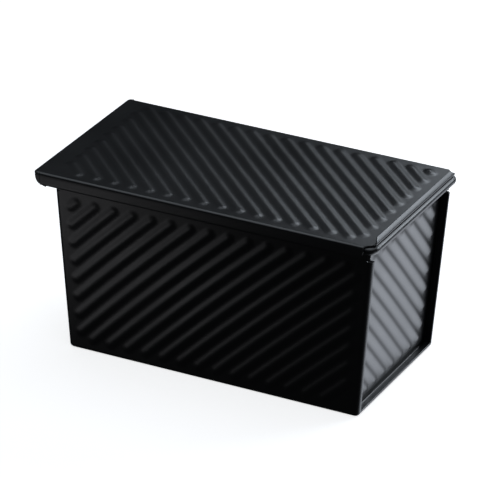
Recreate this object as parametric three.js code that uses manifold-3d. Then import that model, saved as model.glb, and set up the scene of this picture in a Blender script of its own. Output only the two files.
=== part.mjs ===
// Lidded loaf pan for a 450 g sandwich loaf: a folded steel body with two end panels seamed into it,
// a wired rolled rim, and a lid that slides along the rim. Millimetres, +X along the pan, +Z up.
// The origin is the middle of the underside. The lid stands 5 mm short of home, towards -X.
import * as THREE from "three";
import Module from "manifold-3d";
import { mergeGeometries, mergeVertices } from "three/addons/utils/BufferGeometryUtils.js";

// Sheet and clearances
const SHEET = 0.8;
const GAP = 0.3;

// Body: the four sides lean outwards from the base to the collar
const BASE_HALF_LENGTH = 92.7;
const BASE_HALF_WIDTH = 50.1;
const COLLAR_Z = 104.3;
const COLLAR_INNER_X = 98.2;
const COLLAR_INNER_Y = 52;
const LENGTH_TAPER = 0.082;
const WIDTH_TAPER = COLLAR_INNER_Y / (BASE_HALF_WIDTH - SHEET) - 1;

// Hems that hold the end panels: body sheet, panel flange, body sheet
const HEM_THICKNESS = 3;
const HEM_DEPTH = 2.8;
const HEM_TOP = 99.4;
const SLOT_WIDTH = HEM_THICKNESS - 2 * SHEET;

// End panels, set back inside the hems
const RECESS = 4.85;
const FLANGE_END = BASE_HALF_LENGTH - 1.7;
const PANEL_HALF_WIDTH = BASE_HALF_WIDTH - SHEET - GAP;
const PANEL_BASE_Z = SHEET + GAP;
const FLARE_Z = 99;
const SEAM_Y = 49.85;

// Rolled rim around a wire
const ROLL_RADIUS = 2.4;
const ROLL_Z = 107.2;
const ROLL_X = COLLAR_INNER_X + ROLL_RADIUS;
const ROLL_Y = COLLAR_INNER_Y + ROLL_RADIUS;
const RIM_CORNER = 4;
const WIRE_RADIUS = 1.3;

// Lid
const LID_TOP = 110.8;
const LID_HALF_WIDTH = 58;
const LID_START = -111.2;
const LID_END = 101.9;
const CHANNEL_END = 96.2;
const CHANNEL_BOTTOM = 103;
const CHANNEL_LIP = 2.6;
const EDGE_BEND = 1.6;
const FOOT_BEND = 1.2;
const LIP_BEND = 1.2;
const LIP_LENGTH = 2.4;
const LIP_ANGLE = THREE.MathUtils.degToRad(127);
const LIP_TOP = LID_TOP + 3.4;
const CORNER_CUT = 5;
const CUT_BACK_LENGTH = 4.4;
const CUT_BACK_HEIGHT = 4.6;

// Curved stop under the lid's closed end, and the seam where it meets the channels
const STOP_RADIUS = 6.4;
const STOP_X = LID_START + 1.4 + STOP_RADIUS;
const STOP_Z = LID_TOP - 2 * SHEET;
const STOP_SEAM_X = LID_START + 4.6;
const STOP_SEAM_Z = CHANNEL_BOTTOM + 1.6;

// Ribs pressed outwards at 45 degrees
const RIB_HEIGHT = 0.7;
const RIB_HALF_WIDTH = 3.4;
const RIB_CREST = 0.4;
const RIB_ROOT = 0.3;
const RIB_PITCH = 8 * Math.SQRT2;
const END_RIB_PITCH = 8.25 * Math.SQRT2;
const RIB_MARGIN = 6.5;
const LID_RIBS_START = -100.2;
const LID_RIBS_END = 93.4;
const LID_RIBS_MARGIN = 5;

// Finishes: black non-stick coating on steel, and bare steel wire
const BODY_FINISH = { color: 0x2b2d30, roughness: 0.36, metalness: 0.6 };
const LID_FINISH = { color: 0x35383c, roughness: 0.34, metalness: 0.6 };
const WIRE_FINISH = { color: 0x9a9c9e, roughness: 0.35, metalness: 1 };

const wasm = await Module();
wasm.setup();

function toSolid(geometry) {
  const bare = geometry.index ? geometry.toNonIndexed() : geometry.clone();
  bare.deleteAttribute("normal");
  bare.deleteAttribute("uv");
  const merged = mergeVertices(bare, 1e-4);
  const mesh = new wasm.Mesh({
    numProp: 3,
    vertProperties: new Float32Array(merged.attributes.position.array),
    triVerts: new Uint32Array(merged.index.array),
  });
  return new wasm.Manifold(mesh);
}

function toGeometry(solid) {
  const mesh = solid.getMesh();
  const geometry = new THREE.BufferGeometry();
  geometry.setAttribute("position", new THREE.BufferAttribute(new Float32Array(mesh.vertProperties), 3));
  geometry.setIndex(new THREE.BufferAttribute(new Uint32Array(mesh.triVerts), 1));
  const faceted = geometry.toNonIndexed();
  faceted.computeVertexNormals();
  return faceted;
}

const join = (solids) => solids.reduce((whole, solid) => whole.add(solid));
const cut = (solid, tools) => tools.reduce((left, tool) => left.subtract(tool), solid);

function box([x0, x1], [y0, y1], [z0, z1]) {
  const geometry = new THREE.BoxGeometry(x1 - x0, y1 - y0, z1 - z0);
  return geometry.translate((x0 + x1) / 2, (y0 + y1) / 2, (z0 + z1) / 2);
}

const AXES = {
  x: [new THREE.Vector3(0, 1, 0), new THREE.Vector3(0, 0, 1), new THREE.Vector3(1, 0, 0)],
  y: [new THREE.Vector3(0, 0, 1), new THREE.Vector3(1, 0, 0), new THREE.Vector3(0, 1, 0)],
  z: [new THREE.Vector3(1, 0, 0), new THREE.Vector3(0, 1, 0), new THREE.Vector3(0, 0, 1)],
};

// Extrudes an outline along one axis; its points are (y, z) for x, (z, x) for y and (x, y) for z.
function extrude(points, axis, from, to) {
  const shape = new THREE.Shape(points.map(([a, b]) => new THREE.Vector2(a, b)));
  const geometry = new THREE.ExtrudeGeometry(shape, { depth: to - from, bevelEnabled: false });
  const placed = geometry.translate(0, 0, from);
  return placed.applyMatrix4(new THREE.Matrix4().makeBasis(...AXES[axis]));
}

function arc(centreA, centreB, radius, fromDegrees, toDegrees, steps) {
  return Array.from({ length: steps + 1 }, (_, i) => {
    const angle = THREE.MathUtils.degToRad(fromDegrees + ((toDegrees - fromDegrees) * i) / steps);
    return [centreA + radius * Math.cos(angle), centreB + radius * Math.sin(angle)];
  });
}

const flip = (points) => points.map(([a, b]) => [b, a]);
const mirror = (points) => points.map(([a, b]) => [-a, b]);

// Turns a copy by half a turn about Z, for the opposite end or side of the pan.
const opposite = (geometry) => geometry.clone().rotateZ(Math.PI);

// Leans an upright piece outwards, so that it widens steadily from the base to the collar.
function taper(geometry) {
  const position = geometry.attributes.position;
  for (let i = 0; i < position.count; i += 1) {
    const rise = position.getZ(i) / COLLAR_Z;
    position.setX(i, position.getX(i) * (1 + LENGTH_TAPER * rise));
    position.setY(i, position.getY(i) * (1 + WIDTH_TAPER * rise));
  }
  return geometry;
}

// One pressed rib: a bar with nosed ends whose sides slope from its root to a narrow crest.
function ribBar(length) {
  const half = length / 2;
  const tip = half + RIB_HALF_WIDTH;
  const outline = [
    [-half, -RIB_HALF_WIDTH], [half, -RIB_HALF_WIDTH], [tip, 0],
    [half, RIB_HALF_WIDTH], [-half, RIB_HALF_WIDTH], [-tip, 0],
  ];
  const bar = extrude(outline, "z", -RIB_ROOT, RIB_HEIGHT);
  const position = bar.attributes.position;
  for (let i = 0; i < position.count; i += 1) {
    if (position.getZ(i) > 0) {
      const x = position.getX(i);
      const beyond = Math.max(Math.abs(x) - half, 0);
      position.setX(i, x - Math.sign(x) * beyond * (1 - RIB_CREST));
      position.setY(i, position.getY(i) * RIB_CREST);
    }
  }
  return bar;
}

// Ribs over the rectangle u0..u1 by v0..v1 in the plane w = 0. Along a rib u + v is constant where
// it falls to the right, and u - v is constant where it rises; phase is that constant on one rib.
function ribField({ u0, u1, v0, v1, rising, pitch, phase }) {
  const bars = [];
  const lowest = rising ? u0 - v1 : u0 + v0;
  const highest = rising ? u1 - v0 : u1 + v1;
  for (let k = Math.ceil((lowest - phase) / pitch); phase + k * pitch < highest; k += 1) {
    const line = phase + k * pitch;
    const start = Math.max(u0, rising ? line + v0 : line - v1);
    const end = Math.min(u1, rising ? line + v1 : line - v0);
    if (end - start > 2) {
      const middle = (start + end) / 2;
      const height = rising ? middle - line : line - middle;
      const bar = ribBar((end - start) * Math.SQRT2);
      bars.push(bar.rotateZ(rising ? Math.PI / 4 : -Math.PI / 4).translate(middle, height, 0));
    }
  }
  return mergeGeometries(bars);
}

// Presses ribs into a plate. The ribs stand out along w and leave the same hollow in the back.
function press(plate, ribs, place) {
  const hollows = ribs.clone().translate(0, 0, -SHEET);
  return plate.add(toSolid(place(ribs.clone()))).subtract(toSolid(place(hollows)));
}

// The rim's centre line, from station to station: straight, then round each corner in steps.
class RimPath extends THREE.Curve {
  constructor(stations) {
    super();
    this.stations = stations;
  }

  getPoint(t) {
    return this.getPointAt(t);
  }

  getPointAt(t) {
    return this.stations[Math.round(t * (this.stations.length - 1))].point.clone();
  }

  getTangentAt(t) {
    return this.stations[Math.round(t * (this.stations.length - 1))].tangent.clone();
  }

  getSpacedPoints() {
    return this.stations.map(({ point }) => point.clone());
  }
}

function station(x, y, heading) {
  return {
    point: new THREE.Vector3(x, y, ROLL_Z),
    tangent: new THREE.Vector3(Math.cos(heading), Math.sin(heading), 0),
  };
}

// Stations round one corner of the rim, anticlockwise from above, arriving along the given heading.
function cornerStations(sideX, sideY, heading) {
  const centreX = sideX * (ROLL_X - RIM_CORNER);
  const centreY = sideY * (ROLL_Y - RIM_CORNER);
  return Array.from({ length: 5 }, (_, i) => {
    const turned = heading + (i * Math.PI) / 8;
    const x = centreX + RIM_CORNER * Math.sin(turned);
    const y = centreY - RIM_CORNER * Math.cos(turned);
    return station(x, y, turned);
  });
}

function sweep(points, stations) {
  const shape = new THREE.Shape(points.map(([outward, up]) => new THREE.Vector2(-up, -outward)));
  const path = new RimPath(stations);
  return new THREE.ExtrudeGeometry(shape, { steps: stations.length - 1, extrudePath: path });
}

// The collar and the curl over the wire, as (outward, up) from the middle of the wire.
function curlOutline() {
  const inner = ROLL_RADIUS - SHEET;
  return [
    [-inner, COLLAR_Z - ROLL_Z],
    ...arc(0, 0, inner, 180, -120, 10),
    ...arc(0, 0, ROLL_RADIUS, -120, 180, 10),
    [-ROLL_RADIUS, COLLAR_Z - ROLL_Z],
  ];
}

// A hem's round nose in section: (distance from the middle of the pan, distance in from the face).
function hemOutline() {
  const half = HEM_THICKNESS / 2;
  return [
    [BASE_HALF_LENGTH - HEM_DEPTH, 0],
    ...arc(BASE_HALF_LENGTH - half, half, half, -90, 90, 6),
    [BASE_HALF_LENGTH - HEM_DEPTH, HEM_THICKNESS],
  ];
}

// The slot inside a hem that the end panel's flange enters.
function slotOutline() {
  const half = SLOT_WIDTH / 2;
  const mouth = BASE_HALF_LENGTH - HEM_DEPTH - 1;
  return [
    [mouth, SHEET],
    ...arc(BASE_HALF_LENGTH - HEM_THICKNESS / 2, HEM_THICKNESS / 2, half, -90, 90, 4),
    [mouth, SHEET + SLOT_WIDTH],
  ];
}

// Places a wall section, given as (along the pan, in from the face), against the -Y face.
const againstFace = (points) => points.map(([along, inwards]) => [along, inwards - BASE_HALF_WIDTH]);

function bodySheet() {
  const plateEnd = BASE_HALF_LENGTH - HEM_THICKNESS / 2;
  const floor = box([-plateEnd, plateEnd], [-BASE_HALF_WIDTH, BASE_HALF_WIDTH], [0, SHEET]);
  const inside = SHEET - BASE_HALF_WIDTH;
  const wall = box([-plateEnd, plateEnd], [-BASE_HALF_WIDTH, inside], [0, COLLAR_Z + GAP]);
  const ribs = ribField({
    u0: RIB_MARGIN - BASE_HALF_LENGTH + RIB_HALF_WIDTH,
    u1: BASE_HALF_LENGTH - RIB_MARGIN - RIB_HALF_WIDTH,
    v0: RIB_MARGIN + RIB_HALF_WIDTH / 2,
    v1: HEM_TOP - RIB_MARGIN + RIB_HALF_WIDTH / 2,
    rising: true,
    pitch: RIB_PITCH,
    phase: 6.3,
  });
  const onWall = (geometry) => taper(geometry.rotateX(Math.PI / 2).translate(0, -BASE_HALF_WIDTH, 0));
  const nearWall = press(toSolid(taper(wall)), ribs, onWall);
  const farWall = toSolid(opposite(toGeometry(nearWall)));

  const uprights = (outline, from, to) => {
    const outlines = [outline, mirror(outline)];
    const pieces = outlines.map((points) => taper(extrude(againstFace(points), "z", from, to)));
    return [...pieces, ...pieces.map(opposite)];
  };
  const floorHem = taper(extrude(flip(hemOutline()), "y", -BASE_HALF_WIDTH, BASE_HALF_WIDTH));
  const floorSlot = taper(extrude(flip(slotOutline()), "y", inside, -inside));
  const hems = [...uprights(hemOutline(), 0, HEM_TOP), floorHem, opposite(floorHem)];
  const slots = [...uprights(slotOutline(), SHEET, HEM_TOP + 1), floorSlot, opposite(floorSlot)];

  const nearRim = [
    station(-ROLL_X, -SEAM_Y - GAP / 2, -Math.PI / 2),
    ...cornerStations(-1, -1, -Math.PI / 2),
    ...cornerStations(1, -1, 0),
    station(ROLL_X, -SEAM_Y - GAP / 2, Math.PI / 2),
  ];
  const curl = sweep(curlOutline(), nearRim);
  const solid = join([toSolid(taper(floor)), nearWall, farWall, ...hems.map(toSolid)]);
  return cut(solid, slots.map(toSolid)).add(toSolid(curl)).add(toSolid(opposite(curl)));
}

function endPanel() {
  const face = BASE_HALF_LENGTH - RECESS;
  const back = face - SHEET;
  const half = PANEL_HALF_WIDTH;
  const plate = taper(box([back, face], [-half, half], [PANEL_BASE_Z, FLARE_Z]));
  const ribs = ribField({
    u0: RIB_MARGIN - half + 1,
    u1: half - RIB_MARGIN - 1,
    v0: PANEL_BASE_Z + RIB_MARGIN + RIB_HALF_WIDTH,
    v1: FLARE_Z - RIB_HALF_WIDTH - 1,
    rising: false,
    pitch: END_RIB_PITCH,
    phase: 0.4,
  });
  const onPanel = (geometry) => {
    const upright = geometry.applyMatrix4(new THREE.Matrix4().makeBasis(...AXES.x));
    return taper(upright.translate(face, 0, 0));
  };
  const flangeX = [back, FLANGE_END];
  const bottomFlange = taper(box(flangeX, [-half, half], [PANEL_BASE_Z, PANEL_BASE_Z + SHEET]));
  const sideFlange = taper(box(flangeX, [-half, SHEET - half], [PANEL_BASE_Z, FLARE_Z]));
  const otherFlange = taper(box(flangeX, [half - SHEET, half], [PANEL_BASE_Z, FLARE_Z]));

  const lean = 1 + (LENGTH_TAPER * FLARE_Z) / COLLAR_Z;
  const flare = [
    [FLARE_Z, back * lean], [COLLAR_Z, COLLAR_INNER_X], [COLLAR_Z + GAP, COLLAR_INNER_X],
    [COLLAR_Z + GAP, COLLAR_INNER_X + SHEET], [COLLAR_Z, COLLAR_INNER_X + SHEET], [FLARE_Z, face * lean],
  ];
  const flareHalf = COLLAR_INNER_Y - 2 * GAP;
  const seam = SEAM_Y - GAP / 2;
  const shoulders = [-1, 1].map((side) => {
    const span = side < 0 ? [-flareHalf - 1, -seam] : [seam, flareHalf + 1];
    return toSolid(box([COLLAR_INNER_X - 5, ROLL_X], span, [COLLAR_Z - GAP, COLLAR_Z + 1]));
  });
  const flareSolid = cut(toSolid(extrude(flare, "y", -flareHalf, flareHalf)), shoulders);
  const curlPoints = curlOutline().map(([outward, up]) => [ROLL_Z + up, ROLL_X + outward]);
  const curl = toSolid(extrude(curlPoints, "y", -seam, seam));
  const pressed = press(toSolid(plate), ribs, onPanel);
  return join([pressed, toSolid(bottomFlange), toSolid(sideFlange), toSolid(otherFlange), flareSolid, curl]);
}

// The wire runs once round inside the curl and its ends meet in the middle of the -X end.
function rimWire() {
  const outline = arc(0, 0, WIRE_RADIUS, 0, 324, 9);
  const stations = [
    station(-ROLL_X, -GAP, -Math.PI / 2),
    ...cornerStations(-1, -1, -Math.PI / 2),
    ...cornerStations(1, -1, 0),
    ...cornerStations(1, 1, Math.PI / 2),
    ...cornerStations(-1, 1, Math.PI),
    station(-ROLL_X, GAP, (3 * Math.PI) / 2),
  ];
  return toSolid(sweep(outline, stations));
}

// The channel along one long edge of the lid, which wraps round the rolled rim, as (y, z).
function channelOutline() {
  const outer = -LID_HALF_WIDTH;
  const edge = [outer + EDGE_BEND, LID_TOP - EDGE_BEND];
  const foot = [outer + FOOT_BEND, CHANNEL_BOTTOM + FOOT_BEND];
  return [
    [outer + 2, LID_TOP],
    ...arc(...edge, EDGE_BEND, 90, 180, 3),
    ...arc(...foot, FOOT_BEND, 180, 270, 3),
    [outer + CHANNEL_LIP, CHANNEL_BOTTOM],
    [outer + CHANNEL_LIP, CHANNEL_BOTTOM + SHEET],
    ...arc(...foot, FOOT_BEND - SHEET, 270, 180, 3),
    ...arc(...edge, EDGE_BEND - SHEET, 180, 90, 3),
    [outer + 2, LID_TOP - SHEET],
  ];
}

// The closed end of the lid: folded under, then curved down and in as the stop, as (x, z).
function stopOutline() {
  return [
    [STOP_X, LID_TOP],
    ...arc(LID_START + SHEET, LID_TOP - SHEET, SHEET, 90, 270, 4),
    ...arc(STOP_X, STOP_Z, STOP_RADIUS, 180, 270, 6),
    ...arc(STOP_X, STOP_Z, STOP_RADIUS - SHEET, 270, 180, 6),
    [STOP_X - STOP_RADIUS + SHEET, LID_TOP - SHEET],
    [STOP_X, LID_TOP - SHEET],
  ];
}

// The open end of the lid: bent up and back as a lip to push with, as (x, z).
function lipOutline() {
  const centreX = LID_END - LIP_BEND;
  const centreZ = LID_TOP - SHEET + LIP_BEND;
  const bend = THREE.MathUtils.radToDeg(LIP_ANGLE) - 90;
  const reach = ([x, z]) => [x + LIP_LENGTH * Math.cos(LIP_ANGLE), z + LIP_LENGTH * Math.sin(LIP_ANGLE)];
  const outerArc = arc(centreX, centreZ, LIP_BEND, -90, bend, 5);
  const innerArc = arc(centreX, centreZ, LIP_BEND - SHEET, bend, -90, 5);
  return [
    [centreX - 1, LID_TOP - SHEET],
    ...outerArc,
    reach(outerArc[outerArc.length - 1]),
    reach(innerArc[0]),
    ...innerArc,
    [centreX - 1, LID_TOP],
  ];
}

// The lid's flat top in plan, narrower where the bends of the channels take over its edges.
function plateOutline() {
  const edge = LID_HALF_WIDTH - EDGE_BEND;
  const tab = LID_HALF_WIDTH - 0.2;
  const end = LID_END - LIP_BEND;
  const side = [
    [STOP_X, edge],
    [CHANNEL_END, edge],
    [CHANNEL_END, tab],
    [LID_END - CORNER_CUT, tab],
    [end, LID_HALF_WIDTH - CORNER_CUT],
  ];
  return [...side, ...side.map(([x, y]) => [x, -y]).reverse()];
}

function slidingLid() {
  const plate = toSolid(extrude(plateOutline(), "z", LID_TOP - SHEET, LID_TOP));
  const ribs = ribField({
    u0: LID_RIBS_START + RIB_HALF_WIDTH,
    u1: LID_RIBS_END - RIB_HALF_WIDTH,
    v0: LID_RIBS_MARGIN + RIB_HALF_WIDTH - LID_HALF_WIDTH,
    v1: LID_HALF_WIDTH - LID_RIBS_MARGIN - RIB_HALF_WIDTH,
    rising: false,
    pitch: RIB_PITCH,
    phase: 0.7,
  });
  const onLid = (geometry) => geometry.translate(0, 0, LID_TOP);

  const corner = LID_HALF_WIDTH - CORNER_CUT;
  const channelStart = LID_START + SHEET;
  const channel = extrude(channelOutline(), "x", channelStart, CHANNEL_END);
  const otherChannel = extrude(mirror(channelOutline()), "x", channelStart, CHANNEL_END);
  const stopHalf = LID_HALF_WIDTH - SHEET / 2;
  const stop = extrude(flip(stopOutline()), "y", -stopHalf, stopHalf);
  const lip = extrude(flip(lipOutline()), "y", -corner, corner);

  const past = LID_HALF_WIDTH + 1;
  const below = CHANNEL_BOTTOM - 1;
  const outsideStop = [
    [LID_START - 1, STOP_Z],
    ...arc(STOP_X, STOP_Z, STOP_RADIUS, 180, 270, 6),
    [STOP_X, below],
    [LID_START - 1, below],
  ];
  const cutBack = [
    [CHANNEL_END + 1, below],
    [CHANNEL_END + 1, CHANNEL_BOTTOM + CUT_BACK_HEIGHT],
    [CHANNEL_END - CUT_BACK_LENGTH, below],
  ];
  const lipCorner = [
    [corner, LID_TOP],
    [corner - CORNER_CUT, LIP_TOP],
    [corner + 1, LIP_TOP],
    [corner + 1, LID_TOP],
  ];
  const seamX = [STOP_SEAM_X - GAP, STOP_SEAM_X];
  const seamZ = [STOP_SEAM_Z, STOP_Z];
  const tools = [
    extrude(flip(outsideStop), "y", -past, past),
    extrude(flip(cutBack), "y", -past, past),
    extrude(lipCorner, "x", LID_END - CORNER_CUT, LID_END + 1),
    extrude(mirror(lipCorner), "x", LID_END - CORNER_CUT, LID_END + 1),
    box(seamX, [stopHalf, past], seamZ),
    box(seamX, [-past, -stopHalf], seamZ),
  ];
  const formed = join([press(plate, ribs, onLid), ...[channel, otherChannel, stop, lip].map(toSolid)]);
  return cut(formed, tools.map(toSolid));
}

function makePart(name, geometry, finish) {
  const part = new THREE.Mesh(geometry, new THREE.MeshStandardMaterial(finish));
  part.name = name;
  return part;
}

const panel = toGeometry(endPanel());
const rightEnd = makePart("end_panel_right", panel, BODY_FINISH);
const leftEnd = makePart("end_panel_left", panel, BODY_FINISH);
leftEnd.rotation.z = Math.PI;

const pan = new THREE.Group();
pan.add(makePart("body_sheet", toGeometry(bodySheet()), BODY_FINISH), rightEnd, leftEnd);
pan.add(makePart("rim_wire", toGeometry(rimWire()), WIRE_FINISH));

const loafPan = new THREE.Group();
loafPan.add(pan, makePart("sliding_lid", toGeometry(slidingLid()), LID_FINISH));

export default loafPan;
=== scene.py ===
"""Looks for the lidded loaf pan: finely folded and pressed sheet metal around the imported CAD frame.

Shapes are worked out in millimetres, in the frame of the CAD part, and become metres in make_piece.
"""
import math

import bpy
import numpy as np
from mathutils import Matrix, Vector


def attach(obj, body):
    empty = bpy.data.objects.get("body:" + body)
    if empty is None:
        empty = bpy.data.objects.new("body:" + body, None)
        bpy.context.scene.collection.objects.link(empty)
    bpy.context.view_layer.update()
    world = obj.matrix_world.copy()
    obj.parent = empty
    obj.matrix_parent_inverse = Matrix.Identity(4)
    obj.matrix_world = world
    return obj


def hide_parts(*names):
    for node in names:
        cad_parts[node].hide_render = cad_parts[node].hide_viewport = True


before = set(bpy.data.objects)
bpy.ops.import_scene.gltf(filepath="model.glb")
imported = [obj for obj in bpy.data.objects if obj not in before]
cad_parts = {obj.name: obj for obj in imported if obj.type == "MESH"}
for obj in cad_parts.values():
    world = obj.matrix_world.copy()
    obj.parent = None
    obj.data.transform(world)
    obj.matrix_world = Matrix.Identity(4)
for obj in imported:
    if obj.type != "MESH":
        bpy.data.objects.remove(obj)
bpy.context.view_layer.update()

SHEET = 0.8

# Body, in an upright frame that lean() then widens from the base to the collar
HALF_LENGTH = 92.7
HALF_WIDTH = 50.1
COLLAR_Z = 104.3
LEAN_X = 0.082
LEAN_Y = 52 / 49.3 - 1
FOLD_RADIUS = 1.6
HEM_TOP = 99.4
HEM_START = HALF_LENGTH - 3.2
HEM_NOSE = 2.5
HEM_THICKNESS = 3.0

# Rolled rim
ROLL_X = 100.6
ROLL_Y = 54.4
ROLL_Z = 107.2
ROLL_INNER = 1.6
RIM_CORNER = 4.0
SEAM_Y = 50.0

# End panels
PANEL_X = HALF_LENGTH - 4.85
FLANGE_X = HALF_LENGTH - 1.7
FLANGE_Y = 48.2
PANEL_FLOOR = 1.9
FLARE_Z = 99.0
FLARE_TOP_X = 99.0
NECK_HALF_WIDTH = 51.4

# Lid
LID_TOP = 110.8
LID_HALF_WIDTH = 58.0
LID_BEND = 1.6
LID_START = -111.2
CHANNEL_START = -106.7
CHANNEL_END = 96.2
CHANNEL_FOOT = 103.0
CHANNEL_LIP = 2.6
FOOT_BEND = 1.2
PLATE_END = 100.7
PLATE_END_HALF_WIDTH = 53
LIP_LENGTH = 2.4
LIP_ANGLE = math.radians(127)
LIP_HALF_WIDTH = 48.4
STOP_X = -103.4
STOP_RADIUS = 6.4
STOP_Z = LID_TOP - 2 * SHEET - 0.1

# Ribs
RIB_HEIGHT = 0.7
RIB_HALF_WIDTH = 3.9
RIB_PITCH = 8 * math.sqrt(2)
END_RIB_PITCH = 8.25 * math.sqrt(2)
WALL_RIB_HEIGHT = 0.5
WALL_RIB_PHASE = 6.3
PANEL_RIB_PHASE = 0.4
LID_RIB_PHASE = 0.7
WALL_RIB_ZONE = (-HALF_LENGTH + 9.0, HALF_LENGTH - 9.0, 8.0, HEM_TOP - 5.0)
PANEL_RIB_ZONE = (-FLANGE_Y + 7.4, FLANGE_Y - 7.4, 9.6, FLARE_Z - 4.0)
LID_RIB_ZONE = (-96.3, 89.5, -49.1, 49.1)

CELL = 1.0


def arc(centre, radius, start, end, steps):
    """Points of an arc in a plane, from one angle in degrees to another."""
    angles = np.radians(np.linspace(start, end, steps + 1))
    return np.stack([centre[0] + radius * np.cos(angles), centre[1] + radius * np.sin(angles)], 1)


def chain(*runs):
    """Joins runs of points into one line, leaving out repeated points."""
    points = np.concatenate([np.asarray(run, float).reshape(-1, 2) for run in runs])
    steps = np.linalg.norm(np.diff(points, axis=0), axis=1)
    return points[np.concatenate([[True], steps > 1e-6])]


def span(start, end, cell=CELL):
    """Evenly spaced values between two ends, at most a cell apart."""
    return np.linspace(start, end, max(1, math.ceil(abs(end - start) / cell)) + 1)


def lean(points):
    """Widens upright points from the base to the collar."""
    rise = np.minimum(points[..., 2:3], COLLAR_Z) / COLLAR_Z
    widening = np.concatenate([1 + LEAN_X * rise, 1 + LEAN_Y * rise, np.ones_like(rise)], -1)
    return points * widening


def ribs(u, v, zone, rising, pitch, phase, rib_height=RIB_HEIGHT):
    """Height of round-ended diagonal ribs at u, v. A rib keeps u + v, or u - v where it rises."""
    u0, u1, v0, v1 = zone
    sign = -1 if rising else 1
    line = phase + np.round((u + sign * v - phase) / pitch) * pitch
    start = np.maximum(u0, line + v0 if rising else line - v1)
    end = np.minimum(u1, line + v1 if rising else line - v0)
    middle = (start + end) / 2
    half = (end - start) / math.sqrt(2)
    middle_v = sign * (line - middle)
    along = ((u - middle) - sign * (v - middle_v)) / math.sqrt(2)
    across = (u + sign * v - line) / math.sqrt(2)
    beyond = np.maximum(np.abs(along) - half, 0)
    distance = np.hypot(across, beyond) / RIB_HALF_WIDTH
    bump = 0.5 + 0.5 * np.cos(np.pi * np.clip(distance, 0, 1))
    return np.where(end - start > 2, rib_height * bump, 0)


def grid(points, flip=False):
    """Vertices and faces of a grid of points, rows by columns."""
    rows, columns = points.shape[:2]
    index = np.arange(rows * columns).reshape(rows, columns)
    faces = np.stack([index[:-1, :-1], index[:-1, 1:], index[1:, 1:], index[1:, :-1]], -1).reshape(-1, 4)
    return points.reshape(-1, 3), faces[:, ::-1] if flip else faces


def turned(patch):
    """The same patch turned by half a turn about Z."""
    vertices, faces = patch
    return vertices * np.array([-1, -1, 1]), faces


def mirrored(patch, axis):
    """The same patch mirrored along one axis, still facing outwards."""
    vertices, faces = patch
    scale = np.ones(3)
    scale[axis] = -1
    return vertices * scale, faces[:, ::-1]


def weld(patches):
    """Joins patches along the points they share, and drops faces that have closed up."""
    vertices = np.concatenate([patch[0] for patch in patches])
    offsets = np.cumsum([0] + [len(patch[0]) for patch in patches[:-1]])
    faces = np.concatenate([patch[1] + offset for patch, offset in zip(patches, offsets)])
    keys = np.round(vertices / 0.004).astype(np.int64)
    _, first, inverse = np.unique(keys, axis=0, return_index=True, return_inverse=True)
    faces = inverse.reshape(-1)[faces]
    kept = []
    for face in faces.tolist():
        corners = [c for i, c in enumerate(face) if c != face[i - 1]]
        if len(set(corners)) == len(corners) and len(corners) > 2:
            kept.append(corners)
    return vertices[first], kept


def make_piece(name, patches, body, material, node, thickness=SHEET):
    """Makes closed sheet metal from outer-face patches, and stands it for a CAD node."""
    vertices, faces = weld(patches)
    surface = bpy.data.meshes.new(name + "_face")
    surface.from_pydata((vertices / 1000).tolist(), [], faces)
    surface.update()
    normals = np.array([tuple(n.vector) for n in surface.vertex_normals])
    bpy.data.meshes.remove(surface)
    count = len(vertices)
    inner = vertices - normals * thickness
    backs = [[corner + count for corner in reversed(face)] for face in faces]
    sides = {(a, b) for face in faces for a, b in zip(face, face[1:] + face[:1])}
    border = [(a, b) for a, b in sides if (b, a) not in sides]
    rims = [[b, a, a + count, b + count] for a, b in sorted(border)]
    mesh = bpy.data.meshes.new(name)
    mesh.from_pydata((np.concatenate([vertices, inner]) / 1000).tolist(), [], faces + backs + rims)
    mesh.update()
    mesh.shade_smooth()
    sharp = {frozenset(edge) for edge in border}
    sharp |= {frozenset((a + count, b + count)) for a, b in border}
    for edge in mesh.edges:
        edge.use_edge_sharp = frozenset(edge.vertices) in sharp
    piece = bpy.data.objects.new(name, mesh)
    bpy.context.scene.collection.objects.link(piece)
    mesh.materials.append(material)
    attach(piece, body)
    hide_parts(node)


# ---------------------------------------------------------------- body sheet

def hem_line():
    """One end of the body in section: (distance along the pan, depth in from the face)."""
    nose = arc((0, 0), 1, -90, 0, 10) * [HALF_LENGTH - HEM_START, HEM_NOSE] + [HEM_START, HEM_NOSE]
    tip_radius = HEM_THICKNESS - HEM_NOSE
    tip = arc((HALF_LENGTH - tip_radius, HEM_NOSE), tip_radius, 0, 90, 4)
    return chain(nose, tip, [(HALF_LENGTH - 2.8, HEM_THICKNESS)])


def wall_section(depth):
    """The body across the pan at a depth in from its face, from near wall to far wall, as (y, z)."""
    radius = max(FOLD_RADIUS - depth, 0.02)
    corner = depth + radius
    steps = span(FOLD_RADIUS, HEM_TOP)
    heights = corner + (steps - FOLD_RADIUS) * (HEM_TOP - corner) / (HEM_TOP - FOLD_RADIUS)
    half = HALF_WIDTH - depth
    near = [(-half, z) for z in heights[::-1]]
    fold = arc((-half + radius, corner), radius, 180, 270, 5)[1:]
    floor = [(y, depth) for y in np.linspace(-half + radius, half - radius, 40)[1:-1]]
    left = near + fold.tolist() + floor
    right = [(-y, z) for y, z in near + fold.tolist()][::-1]
    return np.array(left + right)


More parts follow.
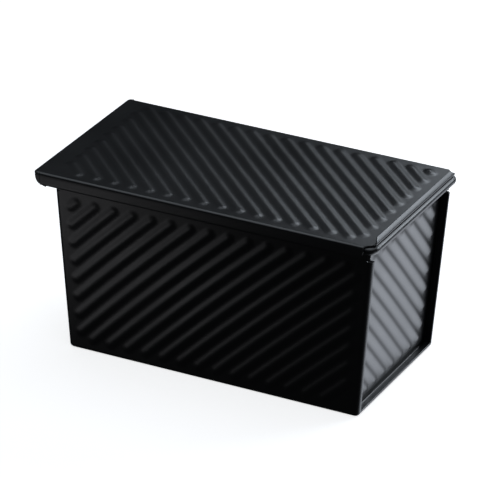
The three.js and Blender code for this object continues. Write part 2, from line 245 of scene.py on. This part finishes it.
def body_patches():
    along = span(-HEM_START, HEM_START)
    hem = hem_line()
    columns = [(-x, depth) for x, depth in hem[::-1]]
    columns += [(x, 0) for x in along[1:-1]]
    columns += [(x, depth) for x, depth in hem]
    lower = np.stack([
        np.column_stack([np.full(len(section), x), section])
        for x, section in ((x, wall_section(depth)) for x, depth in columns)
    ], 1)
    x, y, z = lower[..., 0], lower[..., 1], lower[..., 2]
    on_wall = (np.abs(np.abs(y) - HALF_WIDTH) < 1e-6) & (np.abs(x) <= HEM_START)
    side = np.sign(y)
    height = ribs(-side * x, z, WALL_RIB_ZONE, True, RIB_PITCH, WALL_RIB_PHASE, WALL_RIB_HEIGHT)
    lower[..., 1] += side * np.where(on_wall, height, 0)
    shell = grid(lean(lower), flip=True)

    upper = [(-HALF_WIDTH, z) for z in span(HEM_TOP, COLLAR_Z, 1.7)]
    wall = [lean(np.array([[x, y, z] for x in along])) for y, z in upper]
    stretch = (ROLL_X - RIM_CORNER) / HEM_START
    wall[-1][:, 0] = along * stretch
    curl = curl_line()
    for outward, up in curl[1:]:
        wall.append(np.array([[x * stretch, -ROLL_Y - outward, up] for x in along]))
    strip = grid(np.array(wall))

    shoulder = grid(lean(np.array([
        [[x, -HALF_WIDTH, z] for x in (HEM_START, HALF_LENGTH - 1.6)]
        for z in (HEM_TOP + 0.7, COLLAR_Z - 0.15)
    ])))
    path = [(ROLL_X - RIM_CORNER, -ROLL_Y, 0, -1)]
    for angle in np.radians(np.linspace(-90, 0, 9))[1:]:
        centre = (ROLL_X - RIM_CORNER, -ROLL_Y + RIM_CORNER)
        normal = (math.cos(angle), math.sin(angle))
        path.append((centre[0] + RIM_CORNER * normal[0], centre[1] + RIM_CORNER * normal[1], *normal))
    path.append((ROLL_X, -SEAM_Y, 1, 0))
    corner = grid(np.array([
        [[x + outward * nx, y + outward * ny, up] for x, y, nx, ny in path] for outward, up in curl
    ]))
    near = [strip, shoulder, mirrored(shoulder, 0), corner, mirrored(corner, 0)]
    return [shell] + near + [turned(patch) for patch in near]


def curl_line():
    """The collar's outer face running up into the curl, as (outward from the wire, height)."""
    turn = arc((0, ROLL_Z), ROLL_INNER, 180, -120, 24)
    return chain([(-ROLL_INNER, COLLAR_Z)], turn)


# ---------------------------------------------------------------- end panels

def panel_patches():
    bend = 0.8
    arc_side = arc((PANEL_X + bend, FLANGE_Y - bend), bend, 90, 180, 4)
    side = chain([(FLANGE_X, FLANGE_Y)], arc_side)
    flat = span(-FLANGE_Y + bend, FLANGE_Y - bend)
    u = np.concatenate([-side[:, 1], flat[1:-1], side[::-1, 1]])
    u_lift = np.concatenate([side[:, 0], np.full(len(flat) - 2, PANEL_X), side[::-1, 0]]) - PANEL_X
    arc_foot = arc((PANEL_X + bend, PANEL_FLOOR + bend), bend, -90, -180, 4)
    foot = chain([(FLANGE_X, PANEL_FLOOR)], arc_foot)
    rise = span(PANEL_FLOOR + bend, FLARE_Z)
    v = np.concatenate([foot[:, 1], rise[1:]])
    v_lift = np.concatenate([foot[:, 0], np.full(len(rise) - 1, PANEL_X)]) - PANEL_X
    y, z = np.meshgrid(u, v)
    lift = np.maximum(*np.meshgrid(u_lift, v_lift))
    height = ribs(y, z, PANEL_RIB_ZONE, False, END_RIB_PITCH, PANEL_RIB_PHASE)
    height = np.where(lift < 1e-6, height, 0)
    plate = lean(np.stack([PANEL_X + lift + height, y, z], -1))

    inner = slice(len(side) - 1, len(side) - 1 + len(flat))
    edge = plate[-1, inner]
    start_x = edge[0, 0]
    rows = []
    for z_now in span(FLARE_Z, COLLAR_Z, 0.9):
        share = (z_now - FLARE_Z) / (COLLAR_Z - FLARE_Z)
        eased = share - 0.06 * math.sin(math.pi * share)
        reach = start_x + (FLARE_TOP_X - start_x) * eased
        half = np.interp(z_now, [FLARE_Z, FLARE_Z + 2], [edge[-1, 1], NECK_HALF_WIDTH])
        rows.append(np.column_stack([
            np.full(len(edge), reach), edge[:, 1] / edge[-1, 1] * half, np.full(len(edge), z_now)]))
    rows[0] = edge
    neck = rows[-1][:, 1] / NECK_HALF_WIDTH * (SEAM_Y - 0.3)
    for outward, up in curl_line()[1:]:
        rows.append(np.column_stack([
            np.full(len(neck), ROLL_X + outward), neck, np.full(len(neck), up)]))
    return [grid(plate), grid(np.array(rows))]


# ---------------------------------------------------------------- lid

def lid_corner(y, radius=2.5):
    """How far the closed end's corner draws back at a distance across the lid."""
    past = np.clip(np.abs(y) - (LID_HALF_WIDTH - 0.3 - radius), 0, radius)
    return radius - np.sqrt(radius ** 2 - past ** 2)


def lid_patches():
    flat_half = LID_HALF_WIDTH - LID_BEND
    flat = span(-flat_half, flat_half)
    down = chain(
        arc((flat_half, LID_TOP - LID_BEND), LID_BEND, 90, 0, 6),
        [(LID_HALF_WIDTH, z) for z in (108, 106.8, 105.6)],
        arc((LID_HALF_WIDTH - FOOT_BEND, CHANNEL_FOOT + FOOT_BEND), FOOT_BEND, 0, -90, 5),
        [(LID_HALF_WIDTH - CHANNEL_LIP, CHANNEL_FOOT)],
    )

    along = span(CHANNEL_START, CHANNEL_END)
    start = LID_START + SHEET + 0.05
    before = span(start, CHANNEL_START)
    after = span(CHANNEL_END, PLATE_END, 0.9)
    x, y = np.meshgrid(np.concatenate([before[:-1], along, after[1:]]), flat, indexing="ij")
    taper = np.interp(x, [CHANNEL_END, PLATE_END], [1, PLATE_END_HALF_WIDTH / flat_half])
    back = np.clip((CHANNEL_START - x) / (CHANNEL_START - start), 0, 1) * lid_corner(y)
    height = ribs(x, y, LID_RIB_ZONE, False, RIB_PITCH, LID_RIB_PHASE)
    plate = np.stack([x + back, y * taper, LID_TOP + height], -1)

    ends = np.where(down[:, 1] < 106, CHANNEL_END - (106 - down[:, 1]) * 1.37, CHANNEL_END)
    share = (along - CHANNEL_START) / (CHANNEL_END - CHANNEL_START)
    channel = grid(np.array([
        [[CHANNEL_START + s * (end - CHANNEL_START), y_now, z_now] for s in share]
        for (y_now, z_now), end in zip(down, ends)
    ]))

    cheek_rows = []
    for x_now in np.linspace(LID_START + 1.4, CHANNEL_START - 0.35, 7):
        low = STOP_Z - math.sqrt(STOP_RADIUS ** 2 - (x_now - STOP_X) ** 2)
        top = arc((flat_half, LID_TOP - LID_BEND), LID_BEND, 90, 0, 6)
        rest = [(LID_HALF_WIDTH, z) for z in np.linspace(LID_TOP - LID_BEND, low, 7)[1:]]
        cheek_rows.append([[x_now, y_now, z_now] for y_now, z_now in top.tolist() + rest])
    cheek = grid(np.array(cheek_rows), flip=True)

    ends_across = [LID_HALF_WIDTH - 0.9, LID_HALF_WIDTH - 0.3]
    across = np.concatenate([[-y for y in reversed(ends_across)], flat, ends_across])
    fold = chain(
        arc((start, LID_TOP - SHEET - 0.05), SHEET + 0.05, 90, 270, 8),
        arc((STOP_X - STOP_RADIUS - 0.35, LID_TOP - 2 * SHEET - 0.45), 0.35, 90, 0, 3),
        arc((STOP_X, STOP_Z), STOP_RADIUS, 184, 270, 14),
    )
    fade = np.interp(fold[:, 0], [start, LID_START + 3.5], [1, 0.3])
    stop = grid(np.array([
        [[x_now + f * lid_corner(y_now), y_now, z_now] for y_now in across]
        for (x_now, z_now), f in zip(fold, fade)
    ]))

    lip_turn = arc((PLATE_END, LID_TOP + 0.4), 0.4, -90, 37, 6)
    tip = lip_turn[-1] + LIP_LENGTH * np.array([math.cos(LIP_ANGLE), math.sin(LIP_ANGLE)])
    lip = chain(lip_turn, lip_turn[-1] + (tip - lip_turn[-1]) / 2, tip)
    slant = np.interp(lip[:, 1], [LID_TOP, tip[1]], [1, LIP_HALF_WIDTH / PLATE_END_HALF_WIDTH])
    row = plate[-1, :, 1]
    upturn = grid(np.array([
        [[x_now, y_now * s, z_now] for y_now in row] for (x_now, z_now), s in zip(lip, slant)
    ]), flip=True)
    sides = [channel, mirrored(channel, 1), cheek, mirrored(cheek, 1)]
    return [grid(plate, flip=True), *sides, stop, upturn]


# ---------------------------------------------------------------- materials

def coating(name, colour, roughness):
    """Black non-stick coating on steel: a fine grain, cloudy sheen and faint rubbed edges."""
    material = bpy.data.materials.new(name)
    material.use_nodes = True
    nodes, links = material.node_tree.nodes, material.node_tree.links
    shader = nodes["Principled BSDF"]
    shader.inputs["IOR"].default_value = 1.9
    place = nodes.new("ShaderNodeTexCoord")
    cloud = nodes.new("ShaderNodeTexNoise")
    cloud.inputs["Scale"].default_value = 18
    cloud.inputs["Detail"].default_value = 6
    grain = nodes.new("ShaderNodeTexNoise")
    grain.inputs["Scale"].default_value = 2600
    grain.inputs["Detail"].default_value = 2
    geometry = nodes.new("ShaderNodeNewGeometry")
    edge = nodes.new("ShaderNodeMapRange")
    edge.inputs["From Min"].default_value = 0.56
    edge.inputs["From Max"].default_value = 0.68
    edge.inputs["To Max"].default_value = 0.35
    worn = nodes.new("ShaderNodeMix")
    worn.data_type = "RGBA"
    worn.inputs["B"].default_value = (0.10, 0.10, 0.105, 1)
    tint = nodes.new("ShaderNodeMix")
    tint.data_type = "RGBA"
    tint.inputs["A"].default_value = (*[c * 0.8 for c in colour], 1)
    tint.inputs["B"].default_value = (*[c * 1.25 for c in colour], 1)
    gloss = nodes.new("ShaderNodeMapRange")
    gloss.inputs["From Min"].default_value = 0.3
    gloss.inputs["From Max"].default_value = 0.7
    gloss.inputs["To Min"].default_value = roughness - 0.03
    gloss.inputs["To Max"].default_value = roughness + 0.03
    bump = nodes.new("ShaderNodeBump")
    bump.inputs["Strength"].default_value = 0.12
    bump.inputs["Distance"].default_value = 0.00004
    for texture in (cloud, grain):
        links.new(place.outputs["Object"], texture.inputs["Vector"])
    links.new(cloud.outputs["Fac"], tint.inputs["Factor"])
    links.new(tint.outputs["Result"], worn.inputs["A"])
    links.new(geometry.outputs["Pointiness"], edge.inputs["Value"])
    links.new(edge.outputs["Result"], worn.inputs["Factor"])
    links.new(worn.outputs["Result"], shader.inputs["Base Color"])
    links.new(cloud.outputs["Fac"], gloss.inputs["Value"])
    links.new(gloss.outputs["Result"], shader.inputs["Roughness"])
    links.new(grain.outputs["Fac"], bump.inputs["Height"])
    links.new(bump.outputs["Normal"], shader.inputs["Normal"])
    return material


def drawn_wire():
    """Bare drawn steel, with fine lines and a little dulling."""
    material = bpy.data.materials.new("drawn_steel")
    material.use_nodes = True
    nodes, links = material.node_tree.nodes, material.node_tree.links
    shader = nodes["Principled BSDF"]
    shader.inputs["Metallic"].default_value = 1
    shader.inputs["Base Color"].default_value = (0.42, 0.43, 0.44, 1)
    place = nodes.new("ShaderNodeTexCoord")
    lines = nodes.new("ShaderNodeTexNoise")
    lines.inputs["Scale"].default_value = 900
    dull = nodes.new("ShaderNodeMapRange")
    dull.inputs["To Min"].default_value = 0.3
    dull.inputs["To Max"].default_value = 0.5
    links.new(place.outputs["Object"], lines.inputs["Vector"])
    links.new(lines.outputs["Fac"], dull.inputs["Value"])
    links.new(dull.outputs["Result"], shader.inputs["Roughness"])
    return material


body_coat = coating("body_coating", (0.004, 0.004, 0.0045), 0.34)
lid_coat = coating("lid_coating", (0.004, 0.0045, 0.005), 0.34)

make_piece("folded_body", body_patches(), "pan", body_coat, "body_sheet")
right = panel_patches()
make_piece("right_panel", right, "pan", body_coat, "end_panel_right")
left = [turned(patch) for patch in right]
make_piece("left_panel", left, "pan", body_coat, "end_panel_left")
make_piece("ribbed_lid", lid_patches(), "lid", lid_coat, "sliding_lid")
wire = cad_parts["rim_wire"]
wire.data.materials.clear()
wire.data.materials.append(drawn_wire())


# ---------------------------------------------------------------- floor, light and camera

FRAME_PIXELS = 500
FOCAL_PIXELS = 4141.6
CAMERA_DISTANCE = 2.402


def make_floor():
    """A pale floor, out of reflections and shadow casting so that low light reaches the pan."""
    mesh = bpy.data.meshes.new("floor")
    corners = [(x, y, -0.0002) for x, y in ((-30, -30), (30, -30), (30, 30), (-30, 30))]
    mesh.from_pydata(corners, [], [(0, 1, 2, 3)])
    floor = bpy.data.objects.new("floor", mesh)
    bpy.context.scene.collection.objects.link(floor)
    material = bpy.data.materials.new("pale_floor")
    material.use_nodes = True
    shader = material.node_tree.nodes["Principled BSDF"]
    shader.inputs["Base Color"].default_value = (0.9, 0.9, 0.9, 1)
    shader.inputs["Roughness"].default_value = 1
    shader.inputs["Specular IOR Level"].default_value = 0
    shader.inputs["Emission Color"].default_value = (1, 1, 1, 1)
    shader.inputs["Emission Strength"].default_value = 0.77
    mesh.materials.append(material)
    floor.visible_glossy = False
    floor.visible_diffuse = False
    floor.visible_shadow = False


def make_light(name, location, target, size, energy, colour=(0.89, 0.97, 1.06), gloss=1):
    """A soft rectangular light turned to its target. Gloss is its share in reflections."""
    data = bpy.data.lights.new(name, "AREA")
    data.color = colour
    data.shape = "RECTANGLE"
    data.size, data.size_y = size
    data.energy = energy
    data.specular_factor = gloss
    light = bpy.data.objects.new(name, data)
    light.location = location
    light.rotation_euler = (Vector(target) - Vector(location)).to_track_quat("-Z", "Y").to_euler()
    bpy.context.scene.collection.objects.link(light)


def make_world():
    """A dim studio that brightens low down behind the right-hand end."""
    world = bpy.data.worlds.new("studio")
    bpy.context.scene.world = world
    world.use_nodes = True
    nodes, links = world.node_tree.nodes, world.node_tree.links
    background = nodes["Background"]
    background.inputs["Color"].default_value = (0.90, 0.96, 1.06, 1)
    direction = nodes.new("ShaderNodeTexCoord")
    facing = nodes.new("ShaderNodeVectorMath")
    facing.operation = "DOT_PRODUCT"
    facing.inputs[1].default_value = Vector((0.46, 0.50, -0.73)).normalized()
    strength = nodes.new("ShaderNodeMapRange")
    strength.interpolation_type = "SMOOTHSTEP"
    strength.inputs["From Min"].default_value = 0.74
    strength.inputs["From Max"].default_value = 1.0
    strength.inputs["To Min"].default_value = 0.01
    strength.inputs["To Max"].default_value = 1.8
    links.new(direction.outputs["Generated"], facing.inputs[0])
    links.new(facing.outputs["Value"], strength.inputs["Value"])
    links.new(strength.outputs["Result"], background.inputs["Strength"])


def make_camera():
    """A long lens 2.4 m away, 26 degrees round from the long side and 27 degrees up."""
    azimuth, elevation, roll = math.radians(26.29), math.radians(27.39), math.radians(0.88)
    back = Vector((
        math.sin(azimuth) * math.cos(elevation),
        -math.cos(azimuth) * math.cos(elevation),
        math.sin(elevation),
    ))
    level = Vector((math.cos(azimuth), math.sin(azimuth), 0))
    up = back.cross(level)
    right_hand = level * math.cos(roll) + up * math.sin(roll)
    up = up * math.cos(roll) - level * math.sin(roll)
    aim_right, aim_down = 0.877 / FOCAL_PIXELS, 95.757 / FOCAL_PIXELS
    axis = (back + right_hand * aim_right - up * aim_down).normalized()
    right_hand = (right_hand - axis * right_hand.dot(axis)).normalized()
    up = axis.cross(right_hand)
    data = bpy.data.cameras.new("camera")
    data.sensor_width = 36
    data.lens = data.sensor_width * FOCAL_PIXELS / FRAME_PIXELS
    data.clip_end = 50
    camera = bpy.data.objects.new("camera", data)
    turn = Matrix((right_hand, up, axis)).transposed().to_4x4()
    camera.matrix_world = Matrix.Translation(back * CAMERA_DISTANCE) @ turn
    bpy.context.scene.collection.objects.link(camera)
    bpy.context.scene.camera = camera


make_floor()
make_world()
# The overhead light is for the floor and the pan's soft shadow on it, so it has no gloss
make_light("overhead", (0.0, 0.0, 1.6), (0, 0, 0), (2.2, 2.2), 11, gloss=0)
make_light("window_low", (0.47, 0.62, 0.30), (0.47, 0, 0.30), (1.00, 0.20), 0.5)
make_light("window_high", (0.35, 0.66, 0.58), (0.35, 0, 0.58), (1.04, 0.36), 2.85)
make_light("strip", (0.54, 0.60, 0.38), (0.10, 0, 0.11), (0.28, 0.24), 0.75)
make_light("side", (0.62, -0.05, -0.20), (0.09, -0.02, 0.05), (0.26, 0.30), 0.13)
make_light("fill", (-0.37, -0.26, 0.07), (-0.08, -0.05, 0.08), (0.16, 0.10), 0.030, (1, 1, 1.04))
make_light("low_fill", (-0.26, -0.28, -0.05), (-0.08, -0.05, 0.08), (0.20, 0.06), 0.018, (1, 1, 1.04))
bpy.context.scene.view_settings.view_transform = "Standard"
make_camera()
